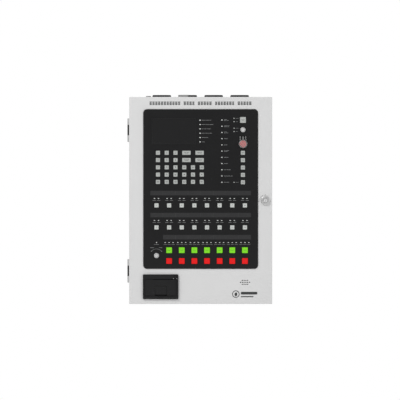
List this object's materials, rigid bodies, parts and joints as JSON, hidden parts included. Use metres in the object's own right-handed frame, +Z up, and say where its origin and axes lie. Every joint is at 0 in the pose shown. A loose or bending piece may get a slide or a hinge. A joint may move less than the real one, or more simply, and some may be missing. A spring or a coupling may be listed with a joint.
{
  "type": "fire alarm control panel",
  "caption": "Wall-mounted fire alarm panel: steel box with a hinged door, key fascia, display, guarded button, printer, speaker and cam lock.",
  "frame": {"origin": "centre of the box's back face, on the wall", "axes": "+X to the right as the user sees it, +Y into the wall, +Z up"},
  "size_m": [0.3849, 0.1393, 0.555],
  "materials": {
    "powder_coat": "fine satin powder coat",
    "black_film": "satin printed film",
    "black_plastic": "fine moulded texture",
    "black_rubber": "matt",
    "key_grey": "satin silicone",
    "key_green": "satin",
    "key_red": "satin",
    "bright_metal": "satin nickel",
    "zinc_plate": "zinc plated",
    "hinge_grey": "satin",
    "clear_cover": "milky clear",
    "display_glass": "dark tinted acrylic",
    "board_green": "solder mask",
    "battery_grey": "moulded ABS",
    "paper": "thermal paper",
    "label_strip": "dark insert card behind film",
    "print_ink": "screen print",
    "led_lens": "diffused lens",
    "terminal_green": "moulded",
    "wire": "PVC insulation",
    "component": "moulded"
  },
  "bodies": {
    "cabinet": {"back_box": "powder_coat", "backplate": "zinc_plate", "cable_plug_1": "black_rubber", "cable_plug_2": "black_rubber", "cable_plug_3": "black_rubber", "cable_plug_4": "black_rubber", "main_board": "board_green", "power_supply": "zinc_plate", "battery_left": "battery_grey", "battery_right": "battery_grey", "hinge_upper_frame_leaf": "hinge_grey", "hinge_lower_frame_leaf": "hinge_grey", "hinge_upper_pin": "bright_metal", "hinge_lower_pin": "bright_metal"},
    "door": {"door": "powder_coat", "fascia": "black_film", "lcd_window": "display_glass", "lcd_module": "black_plastic", "display_board": "board_green", "speaker": "black_plastic", "printer_housing": "black_plastic", "lock_barrel": "bright_metal", "guard_base": "black_plastic", "silence_switch_barrel": "bright_metal", "mode_switch_barrel": "bright_metal", "hinge_upper_door_leaf": "black_plastic", "hinge_lower_door_leaf": "black_plastic"},
    "cam_lock": {"lock_plug": "bright_metal", "lock_cam": "zinc_plate"},
    "guard_cover": {"guard_cover": "clear_cover"},
    "emergency_button": {"emergency_button": "key_red"},
    "printer_flap": {"printer_flap": "black_plastic"},
    "printer_lever": {"printer_lever": "black_plastic"},
    "platen_roller": {"platen_roller": "black_rubber"},
    "paper_roll": {"paper_roll": "paper"},
    "feed_button": {"feed_button": "black_plastic"},
    "silence_switch": {"silence_switch_plug": "bright_metal"},
    "mode_switch": {"mode_switch_plug": "bright_metal"},
    "keypad": {"keypad_mat": "key_grey"},
    "zone_keys": {"zone_key_mat": "key_grey"},
    "square_key": {"square_key": "key_grey"},
    "function_key_1": {"function_key_1": "key_grey"},
    "function_key_2": {"function_key_2": "key_grey"},
    "function_key_3": {"function_key_3": "key_grey"},
    "function_key_4": {"function_key_4": "key_grey"},
    "function_key_5": {"function_key_5": "key_grey"},
    "start_key_1": {"start_key_1": "key_green"},
    "start_key_2": {"start_key_2": "key_green"},
    "start_key_3": {"start_key_3": "key_green"},
    "start_key_4": {"start_key_4": "key_green"},
    "start_key_5": {"start_key_5": "key_green"},
    "start_key_6": {"start_key_6": "key_green"},
    "start_key_7": {"start_key_7": "key_green"},
    "stop_key_1": {"stop_key_1": "key_red"},
    "stop_key_2": {"stop_key_2": "key_red"},
    "stop_key_3": {"stop_key_3": "key_red"},
    "stop_key_4": {"stop_key_4": "key_red"},
    "stop_key_5": {"stop_key_5": "key_red"},
    "stop_key_6": {"stop_key_6": "key_red"},
    "stop_key_7": {"stop_key_7": "key_red"}
  },
  "joints": [
    {"name": "door_hinge", "type": "hinge", "parent": "cabinet", "child": "door", "pos_m": [-0.1904, -0.1005, 0], "axis": [0, 0, -1], "range_deg": [0, 120]},
    {"name": "cam_lock_turn", "type": "hinge", "parent": "door", "child": "cam_lock", "pos_m": [0.1722, -0.129, -0.0004], "axis": [0, -1, 0], "range_deg": [0, 90]},
    {"name": "cover_hinge", "type": "hinge", "parent": "door", "child": "guard_cover", "pos_m": [0.1125, -0.1338, 0.1676], "axis": [-1, 0, 0], "range_deg": [0, 98]},
    {"name": "emergency_press", "type": "slide", "parent": "door", "child": "emergency_button", "axis": [0, 1, 0], "range_m": [0, 0.0025], "stiffness_N_per_m": 500},
    {"name": "flap_hinge", "type": "hinge", "parent": "door", "child": "printer_flap", "pos_m": [-0.1067, -0.1313, -0.2508], "axis": [1, 0, 0], "range_deg": [0, 80]},
    {"name": "flap_lever", "type": "hinge", "parent": "printer_flap", "child": "printer_lever", "pos_m": [-0.1055, -0.1313, -0.229], "axis": [-1, 0, 0], "range_deg": [0, 30]},
    {"name": "flap_roller_spin", "type": "hinge", "parent": "printer_flap", "child": "platen_roller", "pos_m": [-0.0995, -0.1246, -0.214], "axis": [1, 0, 0], "continuous": true},
    {"name": "paper_roll_spin", "type": "hinge", "parent": "door", "child": "paper_roll", "pos_m": [-0.1064, -0.1055, -0.2386], "axis": [1, 0, 0], "continuous": true},
    {"name": "feed_press", "type": "slide", "parent": "door", "child": "feed_button", "axis": [0, 1, 0], "range_m": [0, 0.0006], "stiffness_N_per_m": 400},
    {"name": "silence_switch_turn", "type": "hinge", "parent": "door", "child": "silence_switch", "pos_m": [0.1124, -0.1308, 0.1877], "axis": [0, 1, 0], "range_deg": [0, 90]},
    {"name": "mode_switch_turn", "type": "hinge", "parent": "door", "child": "mode_switch", "pos_m": [-0.1172, -0.1308, -0.1464], "axis": [0, 1, 0], "range_deg": [0, 97]},
    {"name": "key_square_press", "type": "slide", "parent": "door", "child": "square_key", "axis": [0, 1, 0], "range_m": [0, 0.0012], "stiffness_N_per_m": 400},
    {"name": "keypad_press", "type": "slide", "parent": "door", "child": "keypad", "axis": [0, 1, 0], "range_m": [0, 0.001], "stiffness_N_per_m": 1500},
    {"name": "keys_zone_press", "type": "slide", "parent": "door", "child": "zone_keys", "axis": [0, 1, 0], "range_m": [0, 0.001], "stiffness_N_per_m": 1500},
    {"name": "key_function_1_press", "type": "slide", "parent": "door", "child": "function_key_1", "axis": [0, 1, 0], "range_m": [0, 0.0012], "stiffness_N_per_m": 400},
    {"name": "key_function_2_press", "type": "slide", "parent": "door", "child": "function_key_2", "axis": [0, 1, 0], "range_m": [0, 0.0012], "stiffness_N_per_m": 400},
    {"name": "key_function_3_press", "type": "slide", "parent": "door", "child": "function_key_3", "axis": [0, 1, 0], "range_m": [0, 0.0012], "stiffness_N_per_m": 400},
    {"name": "key_function_4_press", "type": "slide", "parent": "door", "child": "function_key_4", "axis": [0, 1, 0], "range_m": [0, 0.0012], "stiffness_N_per_m": 400},
    {"name": "key_function_5_press", "type": "slide", "parent": "door", "child": "function_key_5", "axis": [0, 1, 0], "range_m": [0, 0.0012], "stiffness_N_per_m": 400},
    {"name": "key_start_1_press", "type": "slide", "parent": "door", "child": "start_key_1", "axis": [0, 1, 0], "range_m": [0, 0.0012], "stiffness_N_per_m": 400},
    {"name": "key_start_2_press", "type": "slide", "parent": "door", "child": "start_key_2", "axis": [0, 1, 0], "range_m": [0, 0.0012], "stiffness_N_per_m": 400},
    {"name": "key_start_3_press", "type": "slide", "parent": "door", "child": "start_key_3", "axis": [0, 1, 0], "range_m": [0, 0.0012], "stiffness_N_per_m": 400},
    {"name": "key_start_4_press", "type": "slide", "parent": "door", "child": "start_key_4", "axis": [0, 1, 0], "range_m": [0, 0.0012], "stiffness_N_per_m": 400},
    {"name": "key_start_5_press", "type": "slide", "parent": "door", "child": "start_key_5", "axis": [0, 1, 0], "range_m": [0, 0.0012], "stiffness_N_per_m": 400},
    {"name": "key_start_6_press", "type": "slide", "parent": "door", "child": "start_key_6", "axis": [0, 1, 0], "range_m": [0, 0.0012], "stiffness_N_per_m": 400},
    {"name": "key_start_7_press", "type": "slide", "parent": "door", "child": "start_key_7", "axis": [0, 1, 0], "range_m": [0, 0.0012], "stiffness_N_per_m": 400},
    {"name": "key_stop_1_press", "type": "slide", "parent": "door", "child": "stop_key_1", "axis": [0, 1, 0], "range_m": [0, 0.0012], "stiffness_N_per_m": 400},
    {"name": "key_stop_2_press", "type": "slide", "parent": "door", "child": "stop_key_2", "axis": [0, 1, 0], "range_m": [0, 0.0012], "stiffness_N_per_m": 400},
    {"name": "key_stop_3_press", "type": "slide", "parent": "door", "child": "stop_key_3", "axis": [0, 1, 0], "range_m": [0, 0.0012], "stiffness_N_per_m": 400},
    {"name": "key_stop_4_press", "type": "slide", "parent": "door", "child": "stop_key_4", "axis": [0, 1, 0], "range_m": [0, 0.0012], "stiffness_N_per_m": 400},
    {"name": "key_stop_5_press", "type": "slide", "parent": "door", "child": "stop_key_5", "axis": [0, 1, 0], "range_m": [0, 0.0012], "stiffness_N_per_m": 400},
    {"name": "key_stop_6_press", "type": "slide", "parent": "door", "child": "stop_key_6", "axis": [0, 1, 0], "range_m": [0, 0.0012], "stiffness_N_per_m": 400},
    {"name": "key_stop_7_press", "type": "slide", "parent": "door", "child": "stop_key_7", "axis": [0, 1, 0], "range_m": [0, 0.0012], "stiffness_N_per_m": 400}
  ]
}
